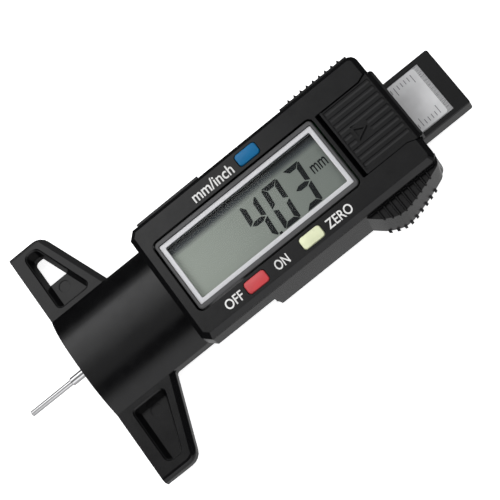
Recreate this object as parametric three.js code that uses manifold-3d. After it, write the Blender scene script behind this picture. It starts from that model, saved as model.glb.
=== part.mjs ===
// Digital tire tread depth gauge: a T-shaped base with a flat beam, and a carriage that slides on the beam
// and pushes a thin steel rod out of the base's measuring face.
// Millimetres. x runs from the measuring face to the beam's tail, y across, z out of the front face,
// and z = 0 is the flat back of the carriage. The carriage is drawn with the rod 17.1 mm out.
import * as THREE from "three";
import { mergeVertices } from "three/addons/utils/BufferGeometryUtils.js";
import Module from "manifold-3d";

const wasm = await Module();
wasm.setup();

// ---- driving dimensions -------------------------------------------------------------------------------

const ARC_STEPS = 4; // straight pieces in a rounded corner
const ROUND_STEPS = 20; // sides of a small cylinder
const GAP = 0.05; // between two pieces that are pressed or glued together
const LAP = 1; // how far two solids run into each other before they are joined or cut
const REACH = 30; // how far a cutter runs past the piece it cuts

const BEAM = { length: 111.4, halfWidth: 8.75, back: 1.5, front: 5.7, cornerR: 0.6, edge: 0.25 };
const BASE = { halfWidth: 35, footTipX: 9.8, footRootX: 17.3, tipR: 3.5, rootR: 0.8, edgeR: 1.2 };
const NECK = { halfWidth: 14.65, end: 33.5, crownHeight: 4.8, crownPower: 2.8, crownSteps: 24 };
const CORE = { x0: 3.6, x1: 31, y0: 3.3, y1: 10.8, top: 6.8 };
const POCKET = { x0: 3.45, y0: 16.2, wall: 3.3, floor: 2.7, draft: 1, r: 1.1, tipR: 1.5, rim: 0.3 };
const POCKET_TIPS = { upper: 32.7, lower: -31.7 };
const WINDOW = { sillY: 23.7, tipY: 31.2, tipR: 1.2, sillR: 0.2, left: 0.7, right: 0.45 };
const EJECTORS = [
  [7.2, 21.3],
  [8, -18.6],
];
const EJECTOR = { r: 1.5, depth: 0.2 };
const FOOT_SLOPE = { wide: 1.5, drop: 1 }; // the bevel along each foot's slanted side
const ROD = { tip: -17.1, step: -4.7, end: 53.8, tipR: 0.75, r: 1.1, z: 3.85 };
const BUSH = { x0: 0.1, x1: 10, r: 2, boreR: 1.2 };
const GROOVE = { halfWidth: 1.25, top: 5.05, clampHalfWidth: 1.8, clampX0: 39.2, clampX1: 71.6 };
const STRIP = { x0: 36.5, x1: 107.4, halfWidth: 7.3, recess: 0.45, thick: 0.22 };
const LABEL = { x0: 58, x1: 106.1, halfWidth: 7.1, thick: 0.12, r: 0.7 };

const CASE = { x0: 28, x1: 97, halfWidth: 17.1, front: 13.6, seam: 12.15, wall: 1.8 };
const SEAM_GROOVE = { deep: 0.25, high: 0.22 };
const CASE_CORNER = { baseCut: 1.9, cutShare: 0.6, tailR: 2.2, least: 0.4 };
const FACE_EDGE = { wide: 1.3, deep: 1.2 };
const HOOD = { skirt: 7.1, archGap: 0.4, rearAtSkirt: 46.7, rearAtBack: 47.4, wall: 1.7 };
const COVER_BACK = { x0: 46.4, thick: 1.35, chamfer: 1.3 };
const LIP = { drop: 1.2, wide: 1.1, fit: 0.1 };
const RAIL = { plainY: 9.1, sprungY: 9.7, wide: 1.8, top: 5.9, ribs: [61.5, 78], ribWide: 1.2 };
const BEAM_PORT = { halfWidth: 9.1, top: 6.1 };
const PAD = { x0: 31.4, x1: 50, proud: 0.8, top: 11.9, sink: 0.3 };
const GRIP = { x0: 75.2, x1: 95.3, back: 3, proud: 0.7 };
const GRIP_RIBS = { count: 9, firstX: 78.2, pitch: 1.86, high: 0.85, wide: 1.1, inset: 0.4, sink: 0.1 };
const SHELF = { back: 1.5, front: 10.7, proud: 0.55, steps: 22, lean: 0.08 };
const SHELF_RIBS = { count: 9, firstX: 78.15, pitch: 1.785, wide: 0.7, taper: 0.2 };
const SHELF_CURVE = [
  [73.1, -15.6],
  [75.5, -18],
  [78.1, -20.1],
  [82.2, -21.6],
  [88, -20.3],
  [93.7, -18.3],
  [95.5, -17.2],
  [96.3, -14.9],
];

const BEZEL = { x0: 31.9, x1: 79.4, halfWidth: 10.25, back: 12, front: 13.85, r: 1.1, edge: 0.25, fit: 0.52 };
const TRIM = { x0: 32.7, x1: 78.6, halfWidth: 9.05, band: 1.2, back: 12, front: 13.45, r: 0.35 };
const LENS = { back: 12.6, front: 13.15 };
const GLASS = { x0: 33.1, x1: 78.2, halfWidth: 8.7, back: 10.85, front: 11.9 };
const ZEBRA = { x0: 50, x1: 77.5, y: 7.9, wide: 1.2 };

const BOARD = { x0: 43.4, x1: 81, halfWidth: 14.9, back: 5.95, front: 6.75, r: 0.8 };
const BOARD_TAIL = { x1: 94.9, halfWidth: 6.6 };
const CHIP = { x0: 56, x1: 63.5, halfWidth: 3.75, high: 1.1 };
const DOME = { r: 1.9, topR: 0.85, high: 0.6, flat: 0.2 };
const BUTTON = { long: 6, wide: 3.2, proud: 0.45, r: 0.8, edge: 0.3, fit: 0.15 };
const STEM = { r: 1.1, lift: 1.25 };
const FLANGE = { long: 1, wide: 0.2, thick: 0.7 };
const BUTTON_PLACES = {
  unit: [62.8, 13.3],
  power: [46.3, -13.3],
  zero: [62.8, -13.3],
};
const CASE_SCREWS = [
  [54.2, 13.2],
  [54.2, -13.2],
  [91.2, 13.2],
  [91.2, -13.2],
];
const SCREW = { r: 0.8, headR: 1.6, taper: 0.3, head: 0.6, top: 10, sink: 0.15, fit: 0.15 };
const DRIVE = { half: 1, wide: 0.35, deep: 0.3 }; // the cross slot in a screw's head
const BOSS = { r: 1.9, postR: 2.4, lift: 1 };

const CELL = { x: 89.2, r: 5.8, back: 7.05, high: 5.4, capR: 5.1, rim: 0.35 };
const NEGATIVE = { back: 5.2, on: 3.5, halfWidth: 1.6, thick: 0.18 };
const POSITIVE = { gap: 0.45, thick: 0.3, halfWidth: 2.6, foot: 2, high: 4 };
const DOOR = { x0: 82, x1: 98, halfWidth: 9.7, back: 12.55, tabThick: 0.6, tabBack: 8.6, r: 0.3, endR: 0.7 };
const FLARE = { x0: 93.8, x1: 95.6, out: 0.7 };
const DOOR_FIELD = { x0: 82.6, x1: 96.1, y0: -8.9, deep: 0.42 }; // the sunk area that carries the ridges
const DOOR_RIDGES = { count: 9, pitch: 2, shift: 0.72, halfWidth: 0.6, topHalf: 0.18, x0: 82.8, x1: 95.9 };
const DOOR_END = { x0: 96.3, drop: 0.8 }; // the slope down to the door's tail end
const ARROW = { base: 85.6, apex: 89.1, halfWidth: 1.8, rim: 0.4, proud: 0.05 };
const ARROW_GAP = { before: 0.6, after: 0.4 };
const DOOR_SLOT = { x0: 80.8, fit: 0.2 };
// The ramp that closes the open end of the battery door's slot.
const DOOR_RAMP = { x0: 79.97, x1: 82.7, halfWidth: 10.1, back: 10.9, top: 12.1, edge: 0.2 };
const CLAMP = { x0: 48, x1: 54, halfWidth: 1.5, back: 1.45, front: 4.85, screwX: 51 };
const SPRING = { x0: 50, x1: 92, y: 8.83, thick: 0.25, bow: 0.5, z0: 2.2, z1: 5.2, steps: 8 };

const ROW_ORIGIN_X = (ROD.tip + BEAM.length) / 2; // the middle of the whole length

// ---- materials ----------------------------------------------------------------------------------------

function finish(color, roughness, metalness = 0) {
  return new THREE.MeshStandardMaterial({ color, roughness, metalness });
}

const MATERIALS = {
  black: finish(0x1d1d1f, 0.45),
  bezel: finish(0x6a6a6c, 0.4),
  silver: finish(0xe2e2e6, 0.3, 0.3),
  lens: finish(0xdfe8e4, 0.05),
  glass: finish(0x939a93, 0.25),
  rubber: finish(0x2c2c2c, 0.8),
  board: finish(0x1f6b3a, 0.5),
  chip: finish(0x101010, 0.6),
  steel: finish(0xc4c7cb, 0.2, 1),
  brass: finish(0xb8924a, 0.3, 1),
  strip: finish(0xb5b8bb, 0.35, 1),
  label: finish(0xe6e6e8, 0.4),
  blue: finish(0x0f6eb4, 0.35),
  red: finish(0xd74b50, 0.35),
  cream: finish(0xebf0c8, 0.35),
};

// ---- shapes and solids --------------------------------------------------------------------------------

// A closed outline from corners [x, y, radius]; a corner with no radius stays sharp.
function outline(corners) {
  const points = [];
  corners.forEach(([x, y, r = 0], i) => {
    const here = new THREE.Vector2(x, y);
    if (!r) {
      points.push(here);
      return;
    }
    const before = corners[(i + corners.length - 1) % corners.length];
    const after = corners[(i + 1) % corners.length];
    const back = new THREE.Vector2(before[0] - x, before[1] - y).normalize();
    const on = new THREE.Vector2(after[0] - x, after[1] - y).normalize();
    const half = Math.acos(THREE.MathUtils.clamp(back.dot(on), -1, 1)) / 2;
    const middle = back.clone().add(on).normalize();
    const centre = here.clone().addScaledVector(middle, r / Math.sin(half));
    const from = here.clone().addScaledVector(back, r / Math.tan(half)).sub(centre);
    const turn = (Math.PI - 2 * half) * Math.sign(back.cross(on) * -1);
    for (let k = 0; k <= ARC_STEPS; k++) {
      const spoke = from.clone().rotateAround(new THREE.Vector2(), (turn * k) / ARC_STEPS);
      points.push(centre.clone().add(spoke));
    }
  });
  return new THREE.Shape(points);
}

function rectangle(x0, x1, y0, y1, r = 0) {
  return outline([
    [x0, y0, r],
    [x1, y0, r],
    [x1, y1, r],
    [x0, y1, r],
  ]);
}

// The geometry as a solid that can be joined and cut.
function solidOf(geometry) {
  geometry.deleteAttribute("normal");
  geometry.deleteAttribute("uv");
  const merged = mergeVertices(geometry, 1e-4);
  return new wasm.Manifold(
    new wasm.Mesh({
      numProp: 3,
      vertProperties: merged.attributes.position.array,
      triVerts: new Uint32Array(merged.index.array),
    }),
  );
}

// A shape extruded along z from z0 to z1; edge = [inset, depth, steps] softens both ends, and lean shifts it
// along x by that much for each millimetre of z.
function slab(shape, z0, z1, edge = null, lean = 0) {
  const [inset, deep, steps] = edge || [0, 0, 0];
  const geometry = new THREE.ExtrudeGeometry(shape, {
    depth: z1 - z0 - 2 * deep,
    bevelEnabled: edge !== null,
    bevelSize: inset,
    bevelOffset: -inset,
    bevelThickness: deep,
    bevelSegments: steps,
    curveSegments: ARC_STEPS,
  });
  geometry.translate(0, 0, z0 + deep);
  geometry.applyMatrix4(new THREE.Matrix4().makeShear(0, 0, 0, 0, lean, 0));
  return solidOf(geometry);
}

// A shape drawn in (y, z), extruded from x0 to x1.
function slabAlongX(shape, x0, x1) {
  const geometry = new THREE.ExtrudeGeometry(shape, { depth: x1 - x0, bevelEnabled: false });
  const turn = new THREE.Matrix4().makeBasis(
    new THREE.Vector3(0, 1, 0),
    new THREE.Vector3(0, 0, 1),
    new THREE.Vector3(1, 0, 0),
  );
  geometry.applyMatrix4(turn).translate(x0, 0, 0);
  return solidOf(geometry);
}

// A shape drawn in (x, z), extruded from y0 to y1; lean shifts it along x by that much per millimetre of y.
function slabAlongY(shape, y0, y1, lean = 0) {
  const geometry = new THREE.ExtrudeGeometry(shape, { depth: y1 - y0, bevelEnabled: false });
  const turn = new THREE.Matrix4().makeBasis(
    new THREE.Vector3(1, 0, 0),
    new THREE.Vector3(0, 0, 1),
    new THREE.Vector3(0, -1, 0),
  );
  geometry.applyMatrix4(turn).translate(0, y1, 0);
  geometry.applyMatrix4(new THREE.Matrix4().makeShear(0, 0, lean, 0, 0, 0));
  return solidOf(geometry);
}

function block(x0, x1, y0, y1, z0, z1) {
  const geometry = new THREE.BoxGeometry(x1 - x0, y1 - y0, z1 - z0);
  geometry.translate((x0 + x1) / 2, (y0 + y1) / 2, (z0 + z1) / 2);
  return solidOf(geometry);
}

function postAlongZ(x, y, r, z0, z1, topR = r) {
  const geometry = new THREE.CylinderGeometry(topR, r, z1 - z0, ROUND_STEPS);
  geometry.rotateX(Math.PI / 2).translate(x, y, (z0 + z1) / 2);
  return solidOf(geometry);
}

function postAlongX(y, z, r, x0, x1) {
  const geometry = new THREE.CylinderGeometry(r, r, x1 - x0, ROUND_STEPS);
  geometry.rotateZ(Math.PI / 2).translate((x0 + x1) / 2, y, z);
  return solidOf(geometry);
}

function join(...solids) {
  return solids.reduce((sum, next) => sum.add(next));
}

function cut(solid, ...cutters) {
  return cutters.reduce((rest, next) => rest.subtract(next), solid);
}

function mesh(name, solid, material) {
  const made = solid.getMesh();
  const geometry = new THREE.BufferGeometry();
  geometry.setAttribute("position", new THREE.BufferAttribute(made.vertProperties, 3));
  geometry.setIndex(new THREE.BufferAttribute(made.triVerts, 1));
  geometry.computeVertexNormals();
  const result = new THREE.Mesh(geometry, MATERIALS[material]);
  result.name = name;
  return result;
}

// ---- base and beam ------------------------------------------------------------------------------------

// Half of the base's outline on the side given by sign, from its measuring face to the neck's end.
function baseHalf(sign) {
  const behindFace = -REACH;
  return [
    [behindFace, sign * BASE.halfWidth],
    [BASE.footTipX, sign * BASE.halfWidth, BASE.tipR],
    [BASE.footRootX, sign * NECK.halfWidth, BASE.rootR],
    [NECK.end + BASE.edgeR, sign * NECK.halfWidth],
  ];
}

function basePlate() {
  const shape = outline([...baseHalf(-1), ...baseHalf(1).reverse()]);
  const whole = slab(shape, BEAM.back, BEAM.front, [BASE.edgeR, BASE.edgeR, 3]);
  return whole.intersect(block(0, NECK.end, -2 * REACH, 2 * REACH, 0, REACH));
}

// Height of the neck's crown over the feet at y, on a neck widened by grow.
function crownHeight(y, grow = 0) {
  const share = Math.abs(y) / (NECK.halfWidth + grow);
  return (NECK.crownHeight + grow) * (1 - share ** NECK.crownPower);
}

function crown(x0, x1, foot, grow = 0) {
  const half = NECK.halfWidth + grow;
  const points = [new THREE.Vector2(-half, foot), new THREE.Vector2(half, foot)];
  for (let k = 0; k <= NECK.crownSteps; k++) {
    const y = half * Math.cos((Math.PI * k) / NECK.crownSteps);
    points.push(new THREE.Vector2(y, BEAM.front + crownHeight(y, grow)));
  }
  return slabAlongX(new THREE.Shape(points), x0, x1);
}

// How much x a foot's slanted side loses for each millimetre towards the foot's tip.
function footSlope() {
  return (BASE.footTipX - BASE.footRootX) / (BASE.halfWidth - NECK.halfWidth);
}

// The x of a foot's slanted wall at y, measured inside the wall.
function slantX(y) {
  return BASE.footRootX - POCKET.wall * Math.hypot(1, footSlope()) + footSlope() * (y - NECK.halfWidth);
}

// A cutter for the bevel along the slanted side of the foot on the side given by sign.
function footBevel(sign) {
  const { wide, drop } = FOOT_SLOPE;
  const edgeX = BASE.footRootX - footSlope() * NECK.halfWidth;
  const section = new THREE.Shape([
    new THREE.Vector2(edgeX - wide, BEAM.front),
    new THREE.Vector2(edgeX + wide, BEAM.front - 2 * drop),
    new THREE.Vector2(edgeX + wide, BEAM.front + LAP),
    new THREE.Vector2(edgeX - wide, BEAM.front + LAP),
  ]);
  const [y0, y1] = [sign * NECK.halfWidth, sign * (BASE.halfWidth + LAP)].sort((a, b) => a - b);
  return slabAlongY(section, y0, y1, sign * footSlope());
}

// The outline of the recess in one foot's face, grown by grow; tipY is its end nearest the foot's tip.
function pocketOutline(tipY, grow) {
  const side = Math.sign(tipY);
  const rootY = side * (POCKET.y0 - grow);
  const farY = tipY + side * grow;
  return outline([
    [POCKET.x0 - grow, rootY, POCKET.r + grow],
    [slantX(POCKET.y0) + grow, rootY, POCKET.r + grow],
    [slantX(Math.abs(tipY)) + grow, farY, POCKET.tipR + grow],
    [POCKET.x0 - grow, farY, POCKET.tipR + grow],
  ]);
}

function footPocket(tipY) {
  const { draft, rim } = POCKET;
  const top = BEAM.front;
  const deep = top - POCKET.floor;
  const hollow = slab(pocketOutline(tipY, 0), POCKET.floor, top + deep + GAP, [draft, deep, 1]);
  return join(hollow, slab(pocketOutline(tipY, rim), top - rim, top + rim + GAP, [rim, rim, 1]));
}

// The opening through one pocket's floor, round at the foot's tip.
function footWindow() {
  const left = POCKET.x0 + WINDOW.left;
  const shape = outline([
    [left, WINDOW.sillY, WINDOW.sillR],
    [slantX(WINDOW.sillY) - WINDOW.right, WINDOW.sillY, WINDOW.sillR],
    [slantX(WINDOW.tipY) - WINDOW.right, WINDOW.tipY, WINDOW.tipR],
    [left, WINDOW.tipY, WINDOW.tipR],
  ]);
  return slab(shape, 0, POCKET.floor + GAP);
}

function beamFrame() {
  const beam = slab(
    rectangle(NECK.end - LAP, BEAM.length, -BEAM.halfWidth, BEAM.halfWidth, BEAM.cornerR),
    BEAM.back,
    BEAM.front,
    [BEAM.edge, BEAM.edge, 1],
  );
  const body = join(basePlate(), crown(0, NECK.end, BEAM.back + BASE.edgeR), beam);
  const cores = [
    block(CORE.x0, CORE.x1, CORE.y0, CORE.y1, 0, CORE.top),
    block(CORE.x0, CORE.x1, -CORE.y1, -CORE.y0, 0, CORE.top),
  ];
  const marks = EJECTORS.map(([x, y]) =>
    postAlongZ(x, y, EJECTOR.r, POCKET.floor - EJECTOR.depth, POCKET.floor + LAP),
  );
  return cut(
    body,
    ...cores,
    footPocket(POCKET_TIPS.upper),
    footPocket(POCKET_TIPS.lower),
    footWindow(),
    footBevel(1),
    footBevel(-1),
    ...marks,
    postAlongX(0, ROD.z, BUSH.r + GAP, -LAP, BUSH.x1 + GAP),
    block(BUSH.x1 - LAP, GROOVE.clampX0 + LAP, -GROOVE.halfWidth, GROOVE.halfWidth, 0, GROOVE.top),
    block(
      GROOVE.clampX0,
      GROOVE.clampX1,
      -GROOVE.clampHalfWidth,
      GROOVE.clampHalfWidth,
      0,
      GROOVE.top,
    ),
    block(
      STRIP.x0 - GAP,
      STRIP.x1 + GAP,
      -STRIP.halfWidth - GAP,
      STRIP.halfWidth + GAP,
      BEAM.front - STRIP.recess,
      REACH,
    ),
  );
}

function rodBush() {
  const tube = postAlongX(0, ROD.z, BUSH.r, BUSH.x0, BUSH.x1);
  return cut(tube, postAlongX(0, ROD.z, BUSH.boreR, -LAP, REACH));
}

function scaleStrip() {
  const floor = BEAM.front - STRIP.recess + GAP / 2;
  return block(STRIP.x0, STRIP.x1, -STRIP.halfWidth, STRIP.halfWidth, floor, floor + STRIP.thick);
}

function scaleLabel() {
  const floor = BEAM.front - STRIP.recess + GAP + STRIP.thick;
  const shape = rectangle(LABEL.x0, LABEL.x1, -LABEL.halfWidth, LABEL.halfWidth, LABEL.r);
  return slab(shape, floor, floor + LABEL.thick);
}

// ---- carriage shells ----------------------------------------------------------------------------------

// The carriage's outline, drawn in by inset: cut corners at the base end, round ones at the tail.
function caseOutline(inset = 0, x0 = CASE.x0, baseCut = CASE_CORNER.baseCut) {
  const y = CASE.halfWidth - inset;
  const left = x0 + inset;
  const right = CASE.x1 - inset;
  const corner = Math.max(baseCut - inset * CASE_CORNER.cutShare, CASE_CORNER.least);
  const r = Math.max(CASE_CORNER.tailR - inset, CASE_CORNER.least);
  return outline([
    [left, -y + corner],
    [left + corner, -y],
    [right, -y, r],
    [right, y, r],
    [left + corner, y],
    [left, y - corner],
  ]);
}

// The ramp that clears everything behind the hood's skirt, up to the rear part of the carriage.
function behindHood() {
  const ramp = new THREE.Shape([
    new THREE.Vector2(-REACH, -LAP),
    new THREE.Vector2(HOOD.rearAtBack, -LAP),
    new THREE.Vector2(HOOD.rearAtBack, 0),
    new THREE.Vector2(HOOD.rearAtSkirt, HOOD.skirt),
    new THREE.Vector2(-REACH, HOOD.skirt),
  ]);
  return slabAlongY(ramp, -REACH, REACH);
}

// The thumb shelf's outline: a straight ramp up from the base end, and a long curve down to the tail.
function thumbShelf() {
  const curve = new THREE.SplineCurve(SHELF_CURVE.map(([x, y]) => new THREE.Vector2(x, y)));
  return new THREE.Shape(curve.getPoints(SHELF.steps));
}

// Ribs over the shelf's ledge and down its side, with sloping flanks on the ledge.
function shelfRibs() {
  const { wide, taper } = SHELF_RIBS;
  const top = SHELF.front + SHELF.proud;
  const round = [-SHELF.proud, SHELF.proud, 1];
  const shell = slab(thumbShelf(), SHELF.back, top, round, SHELF.lean);
  const lean = SHELF.lean * (SHELF.front - SHELF.back);
  const ribs = Array.from({ length: SHELF_RIBS.count }, (_, i) => {
    const x = SHELF_RIBS.firstX + i * SHELF_RIBS.pitch;
    const side = new THREE.Shape([
      new THREE.Vector2(x - lean, SHELF.back),
      new THREE.Vector2(x - lean + wide, SHELF.back),
      new THREE.Vector2(x + wide, SHELF.front),
      new THREE.Vector2(x + wide - taper, top),
      new THREE.Vector2(x + taper, top),
      new THREE.Vector2(x, SHELF.front),
    ]);
    return slabAlongY(side, -REACH, -CASE.halfWidth + CASE.wall / 2);
  });
  return join(...ribs).intersect(shell);
}

function sidePads() {
  const wallY = CASE.halfWidth - PAD.sink;
  const pad = block(PAD.x0, PAD.x1, wallY, CASE.halfWidth + PAD.proud, HOOD.skirt, PAD.top);
  const gripY = CASE.halfWidth + GRIP.proud;
  const grip = block(GRIP.x0, GRIP.x1, wallY, gripY, GRIP.back, PAD.top);
  const ribs = Array.from({ length: GRIP_RIBS.count }, (_, i) => {
    const x = GRIP_RIBS.firstX + i * GRIP_RIBS.pitch;
    const tooth = new THREE.Shape([
      new THREE.Vector2(x - GRIP_RIBS.wide / 2, gripY - GRIP_RIBS.sink),
      new THREE.Vector2(x + GRIP_RIBS.wide / 2, gripY - GRIP_RIBS.sink),
      new THREE.Vector2(x, gripY + GRIP_RIBS.high),
    ]);
    return slab(tooth, GRIP.back + GRIP_RIBS.inset, PAD.top - GRIP_RIBS.inset);
  });
  return join(pad, grip, ...ribs);
}

// Guide rails beside the beam, tied to the side walls by ribs; the sprung side leaves room for the gib.
function guideRails() {
  const back = COVER_BACK.thick + GAP;
  const x0 = HOOD.rearAtBack - LAP;
  const x1 = CASE.x1 - CASE.wall / 2;
  const wallY = CASE.halfWidth - CASE.wall / 2;
  const plainOut = -RAIL.plainY - RAIL.wide;
  const sprungOut = RAIL.sprungY + RAIL.wide;
  const plain = block(x0, x1, plainOut, -RAIL.plainY, back, RAIL.top);
  const sprung = block(x0, x1, RAIL.sprungY, sprungOut, back, RAIL.top);
  const ribs = RAIL.ribs.flatMap((x) => [
    block(x, x + RAIL.ribWide, -wallY, plainOut + GAP, back, RAIL.top),
    block(x, x + RAIL.ribWide, sprungOut - GAP, wallY, back, RAIL.top),
  ]);
  return join(plain, sprung, ...ribs);
}

// The cross wall that closes the carriage's rear part towards the base.
function hoodWall(back) {
  const wallY = CASE.halfWidth - CASE.wall / 2;
  return block(HOOD.rearAtSkirt - LAP, HOOD.rearAtSkirt + HOOD.wall, -wallY, wallY, back, RAIL.top);
}

// The carriage's outer walls with the thumb shelf, its ribs and the side pads, open at both faces.
function caseWalls(back) {
  const shell = join(
    slab(caseOutline(), back, CASE.seam - SEAM_GROOVE.high),
    slab(caseOutline(SEAM_GROOVE.deep), back, CASE.seam),
  );
  const shelf = slab(thumbShelf(), SHELF.back, SHELF.front, null, SHELF.lean);
  const hollow = slab(caseOutline(CASE.wall), 0, CASE.seam + LAP);
  return cut(join(shell, shelf, shelfRibs(), sidePads()), hollow);
}

function sliderHousing() {
  const back = COVER_BACK.thick + GAP;
  const posts = CASE_SCREWS.map(([x, y]) => postAlongZ(x, y, BOSS.postR, back, RAIL.top));
  const holes = CASE_SCREWS.map(([x, y]) => postAlongZ(x, y, SCREW.r + SCREW.fit, 0, CASE.seam));
  const doorHalf = DOOR.halfWidth - CASE.wall;
  const portHalf = BEAM_PORT.halfWidth;
  const farX = 2 * CASE.x1;
  return cut(
    join(caseWalls(back), hoodWall(back), guideRails(), ...posts),
    ...holes,
    behindHood(),
    crown(0, CASE.x0 + CASE.wall + LAP, 0, HOOD.archGap),
    block(HOOD.rearAtSkirt - 2 * LAP, farX, -portHalf, portHalf, 0, BEAM_PORT.top),
    block(CELL.x, farX, -doorHalf, doorHalf, DOOR.back - CASE.wall, REACH),
  );
}

function frontCover() {
  const plateBack = CASE.seam + GAP;
  const plateStart = CASE.front - 3 * FACE_EDGE.deep;
  const plate = slab(caseOutline(), plateStart, CASE.front, [FACE_EDGE.wide, FACE_EDGE.deep, 1]);
  const top = plate.intersect(block(0, 2 * CASE.x1, -REACH, REACH, plateBack, REACH));
  const lipOuter = CASE.wall + LIP.fit;
  const lip = cut(
    slab(caseOutline(lipOuter), CASE.seam - LIP.drop, plateBack + GAP),
    slab(caseOutline(lipOuter + LIP.wide), 0, plateBack + GAP),
  );
  const bosses = CASE_SCREWS.map(([x, y]) => postAlongZ(x, y, BOSS.r, RAIL.top + BOSS.lift, plateBack + GAP));
  const holes = CASE_SCREWS.map(([x, y]) => postAlongZ(x, y, SCREW.r + GAP, 0, SCREW.top + LIP.fit));
  const buttonHoles = Object.values(BUTTON_PLACES).flatMap((place) => [
    buttonBlock(place, BUTTON.fit, BUTTON.fit, 0, REACH),
    buttonBlock(place, FLANGE.long + BUTTON.fit, FLANGE.wide + BUTTON.fit, 0, plateBack),
  ]);
  const pierced = cut(
    join(top, lip, ...bosses),
    ...holes,
    ...buttonHoles,
    slab(bezelOutline(BEZEL.fit), 0, REACH),
    slab(doorOutline(DOOR_SLOT.x0, 2 * CASE.x1, DOOR_SLOT.fit), 0, REACH),
    crown(0, CASE.x0 + CASE.wall + LIP.wide + LAP, 0, HOOD.archGap),
  );
  return join(pierced, doorRamp());
}

// A ramp below the open end of the battery door's slot, hung from the front plate.
function doorRamp() {
  const { x0, x1, halfWidth, back, top, edge } = DOOR_RAMP;
  const side = new THREE.Shape([
    new THREE.Vector2(x0, back),
    new THREE.Vector2(x1, back),
    new THREE.Vector2(x1, back + edge),
    new THREE.Vector2(DOOR_SLOT.x0, top),
    new THREE.Vector2(x0, top),
  ]);
  const hanger = block(x0, DOOR_SLOT.x0, -halfWidth, halfWidth, back, CASE.seam + 2 * GAP);
  return join(slabAlongY(side, -halfWidth, halfWidth), hanger);
}

function rearCover() {
  const { x0, chamfer } = COVER_BACK;
  const plate = slab(caseOutline(0, x0, chamfer), 0, 4 * chamfer, [chamfer, chamfer, 1]);
  const flat = plate.intersect(block(0, 2 * CASE.x1, -REACH, REACH, 0, COVER_BACK.thick));
  const holes = CASE_SCREWS.flatMap(([x, y]) => [
    postAlongZ(x, y, SCREW.r + SCREW.fit, -LAP, REACH),
    postAlongZ(x, y, SCREW.headR + SCREW.fit, -LAP, SCREW.sink + SCREW.head + GAP),
  ]);
  return cut(flat, ...holes, postAlongZ(CLAMP.screwX, 0, SCREW.headR + SCREW.fit, -LAP, REACH));
}

// ---- display ------------------------------------------------------------------------------------------

function bezelOutline(grow = 0) {
  return rectangle(
    BEZEL.x0 - grow,
    BEZEL.x1 + grow,
    -BEZEL.halfWidth - grow,
    BEZEL.halfWidth + grow,
    BEZEL.r + grow,
  );
}

function trimOutline(inset = 0) {
  return rectangle(
    TRIM.x0 + inset,
    TRIM.x1 - inset,
    -TRIM.halfWidth + inset,
    TRIM.halfWidth - inset,
    TRIM.r,
  );
}

function lcdBezel() {
  const ring = slab(bezelOutline(), BEZEL.back - BEZEL.edge, BEZEL.front, [BEZEL.edge, BEZEL.edge, 1]);
  const upper = ring.intersect(block(0, 2 * CASE.x1, -REACH, REACH, BEZEL.back, BEZEL.front));
  return cut(upper, slab(trimOutline(-GAP), 0, REACH));
}

function lcdTrim() {
  const ring = slab(trimOutline(), TRIM.back, TRIM.front);
  return cut(ring, slab(trimOutline(TRIM.band), 0, REACH));
}

function lcdWindow() {
  return slab(trimOutline(TRIM.band + GAP), LENS.back, LENS.front);
}

function lcdPanel() {
  return slab(rectangle(GLASS.x0, GLASS.x1, -GLASS.halfWidth, GLASS.halfWidth), GLASS.back, GLASS.front);
}

function zebraStrip(sign) {
  const y = sign * ZEBRA.y;
  const half = ZEBRA.wide / 2;
  return block(ZEBRA.x0, ZEBRA.x1, y - half, y + half, BOARD.front + GAP, GLASS.back - GAP);
}

// ---- electronics --------------------------------------------------------------------------------------

function mainBoard() {
  const shape = outline([
    [BOARD.x0, -BOARD.halfWidth, BOARD.r],
    [BOARD.x1, -BOARD.halfWidth, BOARD.r],
    [BOARD.x1, -BOARD_TAIL.halfWidth],
    [BOARD_TAIL.x1, -BOARD_TAIL.halfWidth, BOARD.r],
    [BOARD_TAIL.x1, BOARD_TAIL.halfWidth, BOARD.r],
    [BOARD.x1, BOARD_TAIL.halfWidth],
    [BOARD.x1, BOARD.halfWidth, BOARD.r],
    [BOARD.x0, BOARD.halfWidth, BOARD.r],
  ]);
  const holes = CASE_SCREWS.map(([x, y]) => postAlongZ(x, y, BOSS.postR, 0, REACH));
  return cut(slab(shape, BOARD.back, BOARD.front), ...holes);
}

function controllerChip() {
  const floor = BOARD.front + GAP;
  return block(CHIP.x0, CHIP.x1, -CHIP.halfWidth, CHIP.halfWidth, floor, floor + CHIP.high);
}

function keyDome([x, y]) {
  const floor = BOARD.front + GAP;
  const skirt = postAlongZ(x, y, DOME.r, floor, floor + DOME.flat);
  return join(skirt, postAlongZ(x, y, DOME.r, floor + DOME.flat, floor + DOME.high, DOME.topR));
}

function negativeContact() {
  const { back, on, halfWidth, thick } = NEGATIVE;
  const floor = BOARD.front + GAP;
  return block(CELL.x - back, CELL.x + on, -halfWidth, halfWidth, floor, floor + thick);
}

function positiveContact() {
  const { gap, thick, halfWidth, foot, high } = POSITIVE;
  const floor = BOARD.front + GAP;
  const x = CELL.x - CELL.r - gap;
  const upright = block(x, x + thick, -halfWidth, halfWidth, floor, CELL.back + high);
  return join(upright, block(x - foot, x + thick, -halfWidth, halfWidth, floor, floor + thick));
}

function buttonCell() {
  const top = CELL.back + CELL.high;
  const can = postAlongZ(CELL.x, 0, CELL.r, CELL.back + CELL.rim, top);
  return join(can, postAlongZ(CELL.x, 0, CELL.capR, CELL.back, CELL.back + CELL.rim + GAP));
}

// ---- buttons, battery door, rod and screws ------------------------------------------------------------

function buttonBlock([x, y], growLong, growWide, z0, z1, edge = null) {
  const long = BUTTON.long / 2 + growLong;
  const wide = BUTTON.wide / 2 + growWide;
  return slab(rectangle(x - long, x + long, y - wide, y + wide, BUTTON.r), z0, z1, edge);
}

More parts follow.
